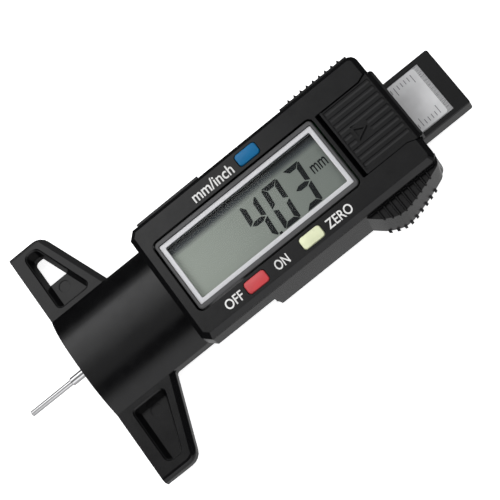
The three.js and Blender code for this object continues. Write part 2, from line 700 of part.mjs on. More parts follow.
function button(place) {
  const top = CASE.front + BUTTON.proud;
  const flangeTop = CASE.seam - GAP;
  const flangeBack = flangeTop - FLANGE.thick;
  const cap = buttonBlock(place, 0, 0, flangeBack, top, [BUTTON.edge, BUTTON.edge, 2]);
  const flange = buttonBlock(place, FLANGE.long, FLANGE.wide, flangeBack, flangeTop);
  const stem = postAlongZ(...place, STEM.r, BOARD.front + STEM.lift, flangeTop);
  return join(cap, flange, stem);
}

// The battery door's outline from x0 to x1, grown sideways by grow, with sides that flare near the tail.
function doorOutline(x0, x1, grow = 0) {
  const y = DOOR.halfWidth + grow;
  const flared = y + FLARE.out;
  return outline([
    [x0, -y, DOOR.r],
    [FLARE.x0, -y],
    [FLARE.x1, -flared],
    [x1, -flared, DOOR.endR],
    [x1, flared, DOOR.endR],
    [FLARE.x1, flared],
    [FLARE.x0, y],
    [x0, y, DOOR.r],
  ]);
}

// One finger ridge with sloping sides, standing on the battery door's sunk field.
function doorRidge(y, x0, x1) {
  const { halfWidth, topHalf } = DOOR_RIDGES;
  const floor = CASE.front - DOOR_FIELD.deep;
  const section = new THREE.Shape([
    new THREE.Vector2(y - halfWidth, floor - GAP),
    new THREE.Vector2(y + halfWidth, floor - GAP),
    new THREE.Vector2(y + halfWidth, floor),
    new THREE.Vector2(y + topHalf, CASE.front),
    new THREE.Vector2(y - topHalf, CASE.front),
    new THREE.Vector2(y - halfWidth, floor),
  ]);
  return slabAlongX(section, x0, x1);
}

function arrowShape(inset) {
  const { base, apex, halfWidth } = ARROW;
  return outline([
    [base + inset, -halfWidth + 1.6 * inset],
    [apex - 2.2 * inset, 0],
    [base + inset, halfWidth - 1.6 * inset],
  ]);
}

// The ridges, broken where the arrow stands, and the arrow's rim.
function doorRelief() {
  const { count, pitch, shift, x0, x1 } = DOOR_RIDGES;
  const ridges = Array.from({ length: count }, (_, i) => {
    const y = shift + (i - (count - 1) / 2) * pitch;
    if (Math.abs(y) > ARROW.halfWidth) return doorRidge(y, x0, x1);
    const before = doorRidge(y, x0, ARROW.base - ARROW_GAP.before);
    return join(before, doorRidge(y, ARROW.apex + ARROW_GAP.after, x1));
  });
  const floor = CASE.front - DOOR_FIELD.deep;
  const arrow = cut(
    slab(arrowShape(0), floor - GAP, CASE.front + ARROW.proud),
    slab(arrowShape(ARROW.rim), floor, REACH),
  );
  return join(...ridges, arrow);
}

// A cutter for the slope at the door's tail end.
function doorEnd() {
  const run = DOOR.x1 - DOOR_END.x0;
  const slope = new THREE.Shape([
    new THREE.Vector2(DOOR_END.x0, CASE.front),
    new THREE.Vector2(DOOR.x1 + run, CASE.front - 2 * DOOR_END.drop),
    new THREE.Vector2(DOOR.x1 + run, CASE.front + LAP),
    new THREE.Vector2(DOOR_END.x0, CASE.front + LAP),
  ]);
  return slabAlongY(slope, -REACH, REACH);
}

function batteryCover() {
  const plate = slab(doorOutline(DOOR.x0, DOOR.x1), DOOR.back, CASE.front);
  const floor = CASE.front - DOOR_FIELD.deep;
  const field = block(DOOR_FIELD.x0, DOOR_FIELD.x1, DOOR_FIELD.y0, REACH, floor, REACH);
  const tab = block(
    DOOR.x1 - DOOR.tabThick,
    DOOR.x1,
    -DOOR.halfWidth,
    DOOR.halfWidth,
    DOOR.tabBack,
    DOOR.back + LAP / 2,
  );
  return join(cut(plate, field, doorEnd()), tab, doorRelief());
}

function depthRod() {
  const thin = postAlongX(0, ROD.z, ROD.tipR, ROD.tip, ROD.step + LAP);
  return join(thin, postAlongX(0, ROD.z, ROD.r, ROD.step, ROD.end));
}

function rodClamp() {
  const { x0, x1, halfWidth, back, front, screwX } = CLAMP;
  const body = block(x0, x1, -halfWidth, halfWidth, back, front);
  return cut(
    body,
    postAlongX(0, ROD.z, ROD.r + GAP, x0 - LAP, x1 + LAP),
    postAlongZ(screwX, 0, SCREW.r + GAP, 0, ROD.z),
  );
}

// A slotted pan-head screw that points away from the back; head is its head's lowest z.
function screw(x, y, head, top) {
  const neck = head + SCREW.head;
  const shank = postAlongZ(x, y, SCREW.r, head, top);
  const pan = postAlongZ(x, y, SCREW.headR - SCREW.taper, head, neck, SCREW.headR);
  const half = DRIVE.wide / 2;
  const floor = head + DRIVE.deep;
  const slots = join(
    block(x - DRIVE.half, x + DRIVE.half, y - half, y + half, -LAP, floor),
    block(x - half, x + half, y - DRIVE.half, y + DRIVE.half, -LAP, floor),
  );
  return cut(join(shank, pan), slots);
}

function gibSpring() {
  const { x0, x1, y, thick, bow, steps } = SPRING;
  const line = Array.from({ length: steps + 1 }, (_, k) => {
    const share = k / steps;
    const lift = bow * Math.sin(Math.PI * share) ** 2;
    return new THREE.Vector2(x0 + (x1 - x0) * share, y + lift);
  });
  const back = line.map((p) => new THREE.Vector2(p.x, p.y + thick)).reverse();
  return slab(new THREE.Shape([...line, ...back]), SPRING.z0, SPRING.z1);
}

// ---- assembly -----------------------------------------------------------------------------------------

function baseGroup() {
  const group = new THREE.Group();
  group.add(
    mesh("beam_frame", beamFrame(), "black"),
    mesh("rod_bush", rodBush(), "brass"),
    mesh("scale_strip", scaleStrip(), "strip"),
    mesh("scale_label", scaleLabel(), "label"),
  );
  return group;
}

function carriageGroup() {
  const group = new THREE.Group();
  group.add(
    mesh("front_cover", frontCover(), "black"),
    mesh("slider_housing", sliderHousing(), "black"),
    mesh("rear_cover", rearCover(), "black"),
    mesh("lcd_bezel", lcdBezel(), "bezel"),
    mesh("lcd_trim", lcdTrim(), "silver"),
    mesh("lcd_window", lcdWindow(), "lens"),
    mesh("lcd_panel", lcdPanel(), "glass"),
    mesh("zebra_strip_upper", zebraStrip(1), "rubber"),
    mesh("zebra_strip_lower", zebraStrip(-1), "rubber"),
    mesh("main_board", mainBoard(), "board"),
    mesh("controller_chip", controllerChip(), "chip"),
    mesh("battery_contact_negative", negativeContact(), "steel"),
    mesh("battery_contact_positive", positiveContact(), "steel"),
    mesh("button_cell", buttonCell(), "steel"),
    mesh("gib_spring", gibSpring(), "steel"),
    mesh("depth_rod", depthRod(), "steel"),
    mesh("rod_clamp", rodClamp(), "brass"),
    mesh("rod_clamp_screw", screw(CLAMP.screwX, 0, SCREW.sink, ROD.z - ROD.r - GAP), "steel"),
  );
  for (const [name, place] of Object.entries(BUTTON_PLACES)) {
    group.add(mesh(name + "_key_dome", keyDome(place), "steel"));
  }
  CASE_SCREWS.forEach(([x, y], i) => {
    group.add(mesh("case_screw_" + (i + 1), screw(x, y, SCREW.sink, SCREW.top), "steel"));
  });
  return group;
}

function controlsGroup() {
  const group = new THREE.Group();
  group.add(
    mesh("unit_button", button(BUTTON_PLACES.unit), "blue"),
    mesh("power_button", button(BUTTON_PLACES.power), "red"),
    mesh("zero_button", button(BUTTON_PLACES.zero), "cream"),
    mesh("battery_cover", batteryCover(), "black"),
  );
  return group;
}

const gauge = new THREE.Group();
gauge.add(baseGroup(), carriageGroup(), controlsGroup());
gauge.position.x = -ROW_ORIGIN_X;

export default gauge;
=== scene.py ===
"""Looks of the tire tread gauge: materials and softened edges on the CAD pieces, the rod, the display's
segments, the printed legends and the label's ticks. Blender works in metres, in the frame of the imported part;
the driving values of the pieces below, and names that end in _mm, are millimetres."""
import math

import bmesh
import bpy
from mathutils import Matrix, Vector


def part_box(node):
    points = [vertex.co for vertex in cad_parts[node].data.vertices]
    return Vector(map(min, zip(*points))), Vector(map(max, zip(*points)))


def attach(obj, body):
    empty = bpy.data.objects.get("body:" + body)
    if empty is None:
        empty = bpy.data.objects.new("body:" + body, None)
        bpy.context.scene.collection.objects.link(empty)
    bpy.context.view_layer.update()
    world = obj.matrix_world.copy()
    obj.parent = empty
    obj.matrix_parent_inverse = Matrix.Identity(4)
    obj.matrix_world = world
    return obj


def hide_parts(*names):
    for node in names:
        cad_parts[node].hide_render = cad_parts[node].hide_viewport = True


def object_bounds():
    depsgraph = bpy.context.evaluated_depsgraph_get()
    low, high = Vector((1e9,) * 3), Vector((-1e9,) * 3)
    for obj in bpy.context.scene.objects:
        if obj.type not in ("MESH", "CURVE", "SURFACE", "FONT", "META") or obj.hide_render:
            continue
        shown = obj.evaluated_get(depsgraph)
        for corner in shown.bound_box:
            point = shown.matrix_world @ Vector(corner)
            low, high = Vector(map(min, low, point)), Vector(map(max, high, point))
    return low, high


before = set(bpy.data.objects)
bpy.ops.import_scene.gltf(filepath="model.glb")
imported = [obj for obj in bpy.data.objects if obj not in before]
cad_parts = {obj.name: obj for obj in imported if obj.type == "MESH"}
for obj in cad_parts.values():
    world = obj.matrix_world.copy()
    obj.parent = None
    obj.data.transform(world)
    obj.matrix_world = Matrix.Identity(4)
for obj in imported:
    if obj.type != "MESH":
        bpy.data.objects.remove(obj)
CAD_BOX = [list(corner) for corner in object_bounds()]
MM = 0.001

# ---- driving values -----------------------------------------------------------------------------------

CAMERA_BACK = Vector((0.0698, -0.3620, 0.9296))  # from the object towards the camera
CAMERA_ROLL = math.radians(38.87)  # how far +X rises above the picture's horizontal
CAMERA_DISTANCE = 0.4811  # metres
CAMERA_LENS = 148.3  # focal length, on a 36 mm sensor
CAMERA_NEAR = 0.01  # metres; nothing closer is drawn
CAMERA_AIM = Vector((2.46, -6.07, 0.0)) * MM  # from the middle of the object's box, at the front face

# The sizes of the seven-segment digits and of their bars.
SEGMENT = {"wide": 4.8, "tall": 11.75, "bar": 1.35, "gap": 0.14, "lean": math.radians(4.5)}
DIGIT_PITCH = 6.6
DIGITS = ["bcfg", "abcdef", "abcdg"]  # lit segments of the reading 4, 0 and 3
POINT = {"x": 5.0, "y": -0.35, "side": 0.78}  # the decimal point, from the first digit's lower left corner
# The first digit's left end and top from the silver frame's right and top edges, and the bare strip at the
# cell's lower edge where the digits are cut off.
READING = {"from_right": 26.2, "from_top": 4.4, "sill": 0.3}
UNIT_SIGN = {"from_right": 6.2, "from_top": 9.8, "tall": 2.3, "wide": 4.3}  # its left end and baseline
# The legends' words, left end from the middle of their button, cap height and width.
LEGENDS = {
    "legend_unit": ("unit_button", "mm/inch", -16.65, 2.95, 11.9),
    "legend_off": ("power_button", "OFF", -9.2, 2.5, 5.0),
    "legend_on": ("power_button", "ON", 5.6, 2.5, 3.8),
    "legend_zero": ("zero_button", "ZERO", 4.5, 2.5, 7.2),
}
LEGEND_DROP = {"unit_button": 1.55, "power_button": 1.3, "zero_button": 1.3}  # baseline below the middle
GLYPH = {"bold": 0.012, "half_depth": 0.01}  # in the font's own units
# The painted shadow of the frame on the cell's upper edge, in two steps.
CELL_SHADE = {"half": (4.2, 2.2), "full": (2.8, 0.6)}  # below the cell's top edge, where each starts and ends
PRINT_THICK = 0.03
PRINT_LIFT = 0.01  # ink above the cell, so that the two do not share a plane
FACE_LIFT = 0.002  # ink above the case and the label
ROD = {"tip_length": 12.4, "tip_radius": 0.75, "round": 0.18, "round_steps": 4, "sides": 48}
ROD_CRISP = math.radians(35.0)  # the rod's edges sharper than this stay crisp
# The ticks' places along the label, their lengths, half width, distance from the edge and front face.
TICK = {"first": 1.6, "pitch": 1.0, "long": 2.4, "short": 1.3, "half": 0.09, "inset": 0.9, "front": 0.02}
FLOOR_SIZE = 3.0  # half the floor's side, in metres
FLOOR_GLOW = 0.8
FLOOR_SHADE = (-0.01, 0.05)  # y in metres where the floor's mirrored look starts and ends its fall into shade
FLOOR_DROP = 0.2  # how far the floor lies under the part
KEY_PLACE = (-0.26, 0.33, 0.41)  # metres; seen in reflections
KEY_AIM = (-0.26, 0.33, 0.0)
KEY_SIZE = (0.52, 0.36)
KEY_WATTS = 0.7
FILL_PLACE = (1.1, 0.15, 1.0)  # metres; one on each side, left out of reflections
FILL_SIZE = (1.2, 1.2)
FILL_WATTS = 8.5
EDGE_SAMPLES = 6  # of the materials' rounded edges

# The studio's sky: direction, degrees from it that are fully lit, degrees where it fades out, brightness.
SKY_BASE = 0.5
SKY = [
    ((-1.0, 0.0, 0.3), 28.0, 46.0, 0.04),  # left flank
    ((1.0, 0.0, 0.3), 28.0, 46.0, 0.04),  # right flank
    ((0.0, -0.85, 0.53), 10.0, 30.0, 1.3),  # low on the camera's side
    ((0.0, 0.675, 0.738), 8.0, 20.0, 1.2),  # high on the far side
    ((0.0, 1.0, 0.0), 22.0, 33.0, 0.02),  # far horizon
    ((0.05, -0.29, 0.957), 13.0, 19.0, 0.01),  # the hood round the camera
]


# ---- materials ----------------------------------------------------------------------------------------

def new_material(name):
    material = bpy.data.materials.new(name)
    material.use_nodes = True
    tree = material.node_tree
    return material, tree, tree.nodes["Principled BSDF"]


def noise(tree, size_mm, detail=2.0, stretch=(1.0, 1.0, 1.0)):
    """Noise with features about size_mm across, in the piece's own coordinates."""
    coords = tree.nodes.new("ShaderNodeTexCoord")
    mapping = tree.nodes.new("ShaderNodeMapping")
    mapping.inputs["Scale"].default_value = stretch
    texture = tree.nodes.new("ShaderNodeTexNoise")
    texture.inputs["Scale"].default_value = 1.0 / (size_mm * MM)
    texture.inputs["Detail"].default_value = detail
    tree.links.new(coords.outputs["Object"], mapping.inputs["Vector"])
    tree.links.new(mapping.outputs["Vector"], texture.inputs["Vector"])
    return texture.outputs["Fac"]


def spread(tree, source, low, high, from_low=0.3, from_high=0.7):
    """The source's middle range stretched to low..high."""
    node = tree.nodes.new("ShaderNodeMapRange")
    node.inputs["From Min"].default_value = from_low
    node.inputs["From Max"].default_value = from_high
    node.inputs["To Min"].default_value = low
    node.inputs["To Max"].default_value = high
    tree.links.new(source, node.inputs["Value"])
    return node.outputs["Result"]


def colour_mix(tree, factor, first, second):
    node = tree.nodes.new("ShaderNodeMix")
    node.data_type = "RGBA"
    tree.links.new(factor, node.inputs["Factor"])
    for socket, value in (("A", first), ("B", second)):
        slot = next(s for s in node.inputs if s.name == socket and s.type == "RGBA")
        if isinstance(value, bpy.types.NodeSocket):
            tree.links.new(value, slot)
        else:
            slot.default_value = (*value, 1.0)
    return next(s for s in node.outputs if s.type == "RGBA")


def bump(tree, shader, height, depth_mm, edge_mm=0.0):
    """A surface grain; edge_mm also rounds the look of the sharp edges by that radius."""
    node = tree.nodes.new("ShaderNodeBump")
    node.inputs["Distance"].default_value = depth_mm * MM
    tree.links.new(height, node.inputs["Height"])
    tree.links.new(node.outputs["Normal"], shader.inputs["Normal"])
    if edge_mm:
        rounded = tree.nodes.new("ShaderNodeBevel")
        rounded.samples = EDGE_SAMPLES
        rounded.inputs["Radius"].default_value = edge_mm * MM
        tree.links.new(rounded.outputs["Normal"], node.inputs["Normal"])


def moulded_plastic(name, colour, roughness, grain_mm=0.16, grain_deep=0.004, specular=0.5, edge_mm=0.0):
    """Injection-moulded plastic: a fine spark-eroded grain, soft mottling and slightly uneven gloss."""
    material, tree, shader = new_material(name)
    mottle = spread(tree, noise(tree, 7.0, 3.0), 0.0, 1.0)
    darker = tuple(c * 0.86 for c in colour)
    lighter = tuple(c * 1.12 for c in colour)
    tree.links.new(colour_mix(tree, mottle, darker, lighter), shader.inputs["Base Color"])
    gloss = spread(tree, noise(tree, 3.0, 4.0), roughness - 0.03, roughness + 0.05)
    tree.links.new(gloss, shader.inputs["Roughness"])
    shader.inputs["Specular IOR Level"].default_value = specular
    bump(tree, shader, noise(tree, grain_mm, 3.0), grain_deep, edge_mm)
    return material


def polished_steel(name, colour, roughness, stretch):
    """Ground steel: fine lines drawn out along the length of the piece."""
    material, tree, shader = new_material(name)
    lines = noise(tree, 0.12, 4.0, stretch)
    shade = spread(tree, lines, 0.0, 1.0)
    darker = tuple(c * 0.82 for c in colour)
    tree.links.new(colour_mix(tree, shade, darker, colour), shader.inputs["Base Color"])
    tree.links.new(spread(tree, lines, roughness * 0.7, roughness * 1.4), shader.inputs["Roughness"])
    shader.inputs["Metallic"].default_value = 1.0
    bump(tree, shader, lines, 0.0015)
    return material


def silver_paint():
    material, tree, shader = new_material("silver_frame_paint")
    fleck = spread(tree, noise(tree, 0.09, 1.0), 0.0, 1.0)
    colour = colour_mix(tree, fleck, (0.60, 0.60, 0.62), (0.73, 0.73, 0.75))
    tree.links.new(colour, shader.inputs["Base Color"])
    shader.inputs["Metallic"].default_value = 0.25
    tree.links.new(spread(tree, noise(tree, 1.5, 2.0), 0.3, 0.4), shader.inputs["Roughness"])
    bump(tree, shader, noise(tree, 0.12, 2.0), 0.002)
    return material


def clear_lens():
    """Thin clear acrylic: lets the light straight through and mirrors a little at a slant."""
    material, tree, shader = new_material("clear_acrylic")
    tree.nodes.remove(shader)
    output = tree.nodes["Material Output"]
    through = tree.nodes.new("ShaderNodeBsdfTransparent")
    through.inputs["Color"].default_value = (0.96, 0.975, 0.965, 1.0)
    mirror = tree.nodes.new("ShaderNodeBsdfGlossy")
    tree.links.new(spread(tree, noise(tree, 4.0, 2.0), 0.02, 0.05), mirror.inputs["Roughness"])
    edge = tree.nodes.new("ShaderNodeFresnel")
    edge.inputs["IOR"].default_value = 1.18
    mix = tree.nodes.new("ShaderNodeMixShader")
    tree.links.new(edge.outputs["Fac"], mix.inputs["Fac"])
    tree.links.new(through.outputs["BSDF"], mix.inputs[1])
    tree.links.new(mirror.outputs["BSDF"], mix.inputs[2])
    tree.links.new(mix.outputs["Shader"], output.inputs["Surface"])
    return material


def along_axis(tree, axis, low, high):
    """0 to 1 as the piece's own coordinate goes from low to high along axis."""
    coords = tree.nodes.new("ShaderNodeTexCoord")
    split = tree.nodes.new("ShaderNodeSeparateXYZ")
    tree.links.new(coords.outputs["Object"], split.inputs["Vector"])
    node = tree.nodes.new("ShaderNodeMapRange")
    node.interpolation_type = "SMOOTHSTEP"
    node.inputs["From Min"].default_value = low
    node.inputs["From Max"].default_value = high
    tree.links.new(split.outputs[axis], node.inputs["Value"])
    return node.outputs["Result"]


def liquid_crystal():
    """The grey-green cell: painted light makes it lighter at its lower left, and a painted shadow of the frame
    darkens its upper edge.
    """
    material, tree, shader = new_material("liquid_crystal_cell")
    low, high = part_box("lcd_panel")
    across = along_axis(tree, "X", low.x, high.x)
    # Painted light: the cell is lighter at its left and darker towards its right.
    base = colour_mix(tree, across, (0.405, 0.422, 0.39), (0.245, 0.258, 0.245))
    # Painted shadow of the frame along the cell's top edge: a half shade, then a near-black full shade.
    half_shade = along_axis(tree, "Y", *(high.y - depth * MM for depth in CELL_SHADE["half"]))
    dimmed = colour_mix(tree, half_shade, base, (0.06, 0.065, 0.075))
    full_shade = along_axis(tree, "Y", *(high.y - depth * MM for depth in CELL_SHADE["full"]))
    shaded = colour_mix(tree, full_shade, dimmed, (0.008, 0.008, 0.009))
    speckle = spread(tree, noise(tree, 0.25, 2.0), 0.0, 0.02)
    tree.links.new(colour_mix(tree, speckle, shaded, (0.5, 0.52, 0.5)), shader.inputs["Base Color"])
    tree.links.new(spread(tree, noise(tree, 2.0, 2.0), 0.35, 0.45), shader.inputs["Roughness"])
    shader.inputs["Specular IOR Level"].default_value = 0.15
    return material


def circuit_laminate():
    material, tree, shader = new_material("green_circuit_laminate")
    weave = spread(tree, noise(tree, 0.5, 2.0, (1.0, 6.0, 1.0)), 0.0, 1.0)
    colour = colour_mix(tree, weave, (0.012, 0.10, 0.035), (0.02, 0.15, 0.055))
    tree.links.new(colour, shader.inputs["Base Color"])
    tree.links.new(spread(tree, noise(tree, 1.0), 0.3, 0.5), shader.inputs["Roughness"])
    return material


def floor_paper():
    """Near-white paper; in reflections it shows painted light on its near side and painted shade on its far
    side.
    """
    material, tree, shader = new_material("pale_floor")
    tone = spread(tree, noise(tree, 60.0, 2.0), 0.0, 1.0)
    colour = colour_mix(tree, tone, (0.90, 0.90, 0.905), (0.92, 0.92, 0.925))
    tree.links.new(colour, shader.inputs["Base Color"])
    shader.inputs["Roughness"].default_value = 0.9
    shader.inputs["Specular IOR Level"].default_value = 0.1
    shader.inputs["Emission Color"].default_value = (1.0, 1.0, 1.0, 1.0)
    shader.inputs["Emission Strength"].default_value = FLOOR_GLOW
    # Painted reflection: in mirrors the floor glows pale on its near side and fades to painted shade on its far
    # side.
    far_side = along_axis(tree, "Y", *FLOOR_SHADE)
    mirrored = tree.nodes.new("ShaderNodeEmission")
    tree.links.new(colour_mix(tree, far_side, (0.5, 0.5, 0.5), (0.02, 0.02, 0.02)), mirrored.inputs["Color"])
    path = tree.nodes.new("ShaderNodeLightPath")
    mix = tree.nodes.new("ShaderNodeMixShader")
    tree.links.new(path.outputs["Is Glossy Ray"], mix.inputs["Fac"])
    tree.links.new(shader.outputs["BSDF"], mix.inputs[1])
    tree.links.new(mirrored.outputs["Emission"], mix.inputs[2])
    tree.links.new(mix.outputs["Shader"], tree.nodes["Material Output"].inputs["Surface"])
    return material


BLACK = (0.0030, 0.0030, 0.0034)
MATERIALS = {
    "case": moulded_plastic("black_case_plastic", BLACK, 0.2, specular=0.37, edge_mm=0.15),
    "base": moulded_plastic("black_base_plastic", BLACK, 0.19, 0.22, 0.003, specular=0.35, edge_mm=0.15),
    "bezel": moulded_plastic("grey_bezel_plastic", (0.072, 0.072, 0.074), 0.32),
    "silver": silver_paint(),
    "lens": clear_lens(),
    "cell": liquid_crystal(),
    "ink": moulded_plastic("display_segment_dye", (0.010, 0.011, 0.013), 0.45, 0.1, 0.0003, specular=0.15),
    "print": moulded_plastic("white_legend_ink", (0.80, 0.80, 0.79), 0.5, 0.08, 0.002),
    "tick": moulded_plastic("grey_tick_ink", (0.16, 0.16, 0.17), 0.5, 0.08, 0.001),
    "label": moulded_plastic("silver_label_film", (0.64, 0.64, 0.65), 0.4, 0.3, 0.001),
    "rubber": moulded_plastic("connector_rubber", (0.02, 0.02, 0.02), 0.75, 0.3, 0.01),
    "board": circuit_laminate(),
    "chip": moulded_plastic("chip_epoxy", (0.008, 0.008, 0.008), 0.6),
    "steel": polished_steel("ground_rod_steel", (0.78, 0.78, 0.79), 0.16, (0.06, 1.0, 1.0)),
    "plated": polished_steel("plated_spring_steel", (0.66, 0.65, 0.62), 0.25, (1.0, 1.0, 1.0)),
    "strip": polished_steel("rolled_strip_steel", (0.5, 0.5, 0.51), 0.3, (0.05, 1.0, 1.0)),
    "brass": polished_steel("turned_brass", (0.65, 0.46, 0.2), 0.25, (1.0, 1.0, 1.0)),
    "blue": moulded_plastic("blue_button_plastic", (0.004, 0.145, 0.34), 0.3, specular=0.35),
    "red": moulded_plastic("red_button_plastic", (0.62, 0.062, 0.07), 0.3),
    "cream": moulded_plastic("cream_button_plastic", (0.80, 0.84, 0.56), 0.3),
}

NODE_MATERIALS = {
    "beam_frame": "base",
    "rod_bush": "brass",
    "scale_strip": "strip",
    "scale_label": "label",
    "front_cover": "case",
    "slider_housing": "case",
    "rear_cover": "case",
    "battery_cover": "case",
    "lcd_bezel": "bezel",
    "lcd_trim": "silver",
    "lcd_window": "lens",
    "lcd_panel": "cell",
    "zebra_strip_upper": "rubber",
    "zebra_strip_lower": "rubber",
    "main_board": "board",
    "controller_chip": "chip",
    "battery_contact_negative": "plated",
    "battery_contact_positive": "plated",
    "button_cell": "plated",
    "gib_spring": "plated",
    "depth_rod": "steel",
    "rod_clamp": "brass",
    "unit_button": "blue",
    "power_button": "red",
    "zero_button": "cream",
}

# The small plain pieces that get truly rounded edges: the width in millimetres, and whether flat faces are
# joined first. The shells' edges are only shaded as round, by their material.
ROUNDED = {
    "lcd_bezel": (0.08, True),
    "lcd_trim": (0.12, False),
    "unit_button": (0.08, True),
    "power_button": (0.08, True),
    "zero_button": (0.06, True),
    "rod_bush": (0.1, True),
}
SHELLS = ["beam_frame", "front_cover", "slider_housing", "rear_cover"]
WELD_GAP = 0.002  # the imported corners nearer than this are one corner
MERGE_ANGLE = math.radians(0.8)
ROUND_ANGLE = math.radians(32.0)  # edges sharper than this are rounded
SMOOTH_ANGLE = math.radians(13.0)  # the shells' facets that meet at less than this are shaded as one curve


# ---- CAD pieces ---------------------------------------------------------------------------------------

def shading_group(name, crisp_angle=None):
    """A modifier's node group: smooth shading without the imported normals, crisp past an angle if given."""
    group = bpy.data.node_groups.new(name, "GeometryNodeTree")
    group.interface.new_socket("Geometry", in_out="INPUT", socket_type="NodeSocketGeometry")
    group.interface.new_socket("Geometry", in_out="OUTPUT", socket_type="NodeSocketGeometry")
    source = group.nodes.new("NodeGroupInput")
    result = group.nodes.new("NodeGroupOutput")
    normals = group.nodes.new("GeometryNodeRemoveAttribute")
    normals.inputs["Name"].default_value = "custom_normal"
    faces = group.nodes.new("GeometryNodeSetShadeSmooth")
    group.links.new(source.outputs[0], normals.inputs["Geometry"])
    group.links.new(normals.outputs["Geometry"], faces.inputs["Geometry"])
    shaded = faces.outputs["Geometry"]
    if crisp_angle:
        shaded = keep_crisp(group, shaded, crisp_angle)
    group.links.new(shaded, result.inputs[0])
    return group


def keep_crisp(group, shaded, crisp_angle):
    """Adds the nodes that shade every edge sharper than crisp_angle as crisp."""
    angle = group.nodes.new("GeometryNodeInputMeshEdgeAngle")
    limit = group.nodes.new("FunctionNodeCompare")
    limit.data_type = "FLOAT"
    limit.operation = "LESS_THAN"
    limit.inputs[1].default_value = crisp_angle
    edges = group.nodes.new("GeometryNodeSetShadeSmooth")
    edges.domain = "EDGE"
    group.links.new(angle.outputs["Unsigned Angle"], limit.inputs[0])
    group.links.new(shaded, edges.inputs["Geometry"])
    group.links.new(limit.outputs["Result"], edges.inputs["Shade Smooth"])
    return edges.outputs["Geometry"]


def add_shading(piece, group):
    weld = piece.modifiers.new("weld", "WELD")
    weld.merge_threshold = WELD_GAP * MM
    piece.modifiers.new("shading", "NODES").node_group = group


def round_edges(piece, width_mm, join_flats):
    if join_flats:
        merge = piece.modifiers.new("merge_flat", "DECIMATE")
        merge.decimate_type = "DISSOLVE"
        merge.angle_limit = MERGE_ANGLE
    edge = piece.modifiers.new("edge", "BEVEL")
    edge.width = width_mm * MM
    edge.segments = 2
    edge.limit_method = "ANGLE"
    edge.angle_limit = ROUND_ANGLE
    edge.use_clamp_overlap = False
    edge.harden_normals = True
    edge.miter_outer = "MITER_ARC"


def dress_cad_nodes():
    """Materials and modifiers only: the meshes stay as they are loaded."""
    smooth = shading_group("shade_smooth")
    curves = shading_group("shade_curves", SMOOTH_ANGLE)
    for node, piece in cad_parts.items():
        key = NODE_MATERIALS.get(node, "plated")  # screws and key domes are not listed
        piece.data.materials.clear()
        piece.data.materials.append(MATERIALS[key])
        if node in SHELLS:
            add_shading(piece, curves)
        if node in ROUNDED:
            add_shading(piece, smooth)
            round_edges(piece, *ROUNDED[node])


# ---- new pieces ---------------------------------------------------------------------------------------

def add_piece(name, bm, material, body, smooth=False):
    bmesh.ops.recalc_face_normals(bm, faces=bm.faces)
    data = bpy.data.meshes.new(name)
    bm.to_mesh(data)
    bm.free()
    for polygon in data.polygons:
        polygon.use_smooth = smooth
    data.materials.append(MATERIALS[material])
    piece = bpy.data.objects.new(name, data)
    bpy.context.scene.collection.objects.link(piece)
    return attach(piece, body)


def add_prism(bm, points, z0, z1):
    """A closed prism from (x, y) points in metres."""
    lower = [bm.verts.new((x, y, z0)) for x, y in points]
    upper = [bm.verts.new((x, y, z1)) for x, y in points]
    bm.faces.new(reversed(lower))
    bm.faces.new(upper)
    for i in range(len(points)):
        j = (i + 1) % len(points)
        bm.faces.new((lower[i], lower[j], upper[j], upper[i]))


def add_rod():
    """The measuring rod, turned: a thin tip with a rounded end, a chamfered step and the sliding shank."""
    low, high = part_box("depth_rod")
    radius = (high.y - low.y) / 2
    centre_y = (low.y + high.y) / 2
    centre_z = (low.z + high.z) / 2
    step = low.x + ROD["tip_length"] * MM
    tip = ROD["tip_radius"] * MM
    round_off = ROD["round"] * MM
    profile = [(low.x, tip - round_off)]
    for k in range(1, ROD["round_steps"] + 1):
        turn = math.radians(90.0 * k / ROD["round_steps"])
        profile.append((low.x + round_off * (1 - math.cos(turn)), tip - round_off * (1 - math.sin(turn))))
    profile += [(step, tip), (step, radius - round_off), (step + round_off, radius)]
    profile += [(high.x - round_off, radius), (high.x, radius - round_off)]
    bm = bmesh.new()
    rings = []
    for x, r in profile:
        ring = []
        for i in range(ROD["sides"]):
            a = math.tau * i / ROD["sides"]
            ring.append(bm.verts.new((x, centre_y + r * math.cos(a), centre_z + r * math.sin(a))))
        rings.append(ring)
    for first, second in zip(rings, rings[1:]):
        for i in range(ROD["sides"]):
            j = (i + 1) % ROD["sides"]
            bm.faces.new((first[i], second[i], second[j], first[j]))
    bm.faces.new(reversed(rings[0]))
    bm.faces.new(rings[-1])
    rod = add_piece("measuring_rod", bm, "steel", "carriage", smooth=True)
    sharpen(rod, ROD_CRISP)
    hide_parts("depth_rod")


def sharpen(piece, angle):
    """Keeps edges sharper than an angle crisp on a smoothly shaded piece."""
    mesh = bmesh.new()
    mesh.from_mesh(piece.data)
    for edge in mesh.edges:
        if edge.calc_face_angle(0.0) > angle:
            edge.smooth = False
    mesh.to_mesh(piece.data)
    mesh.free()


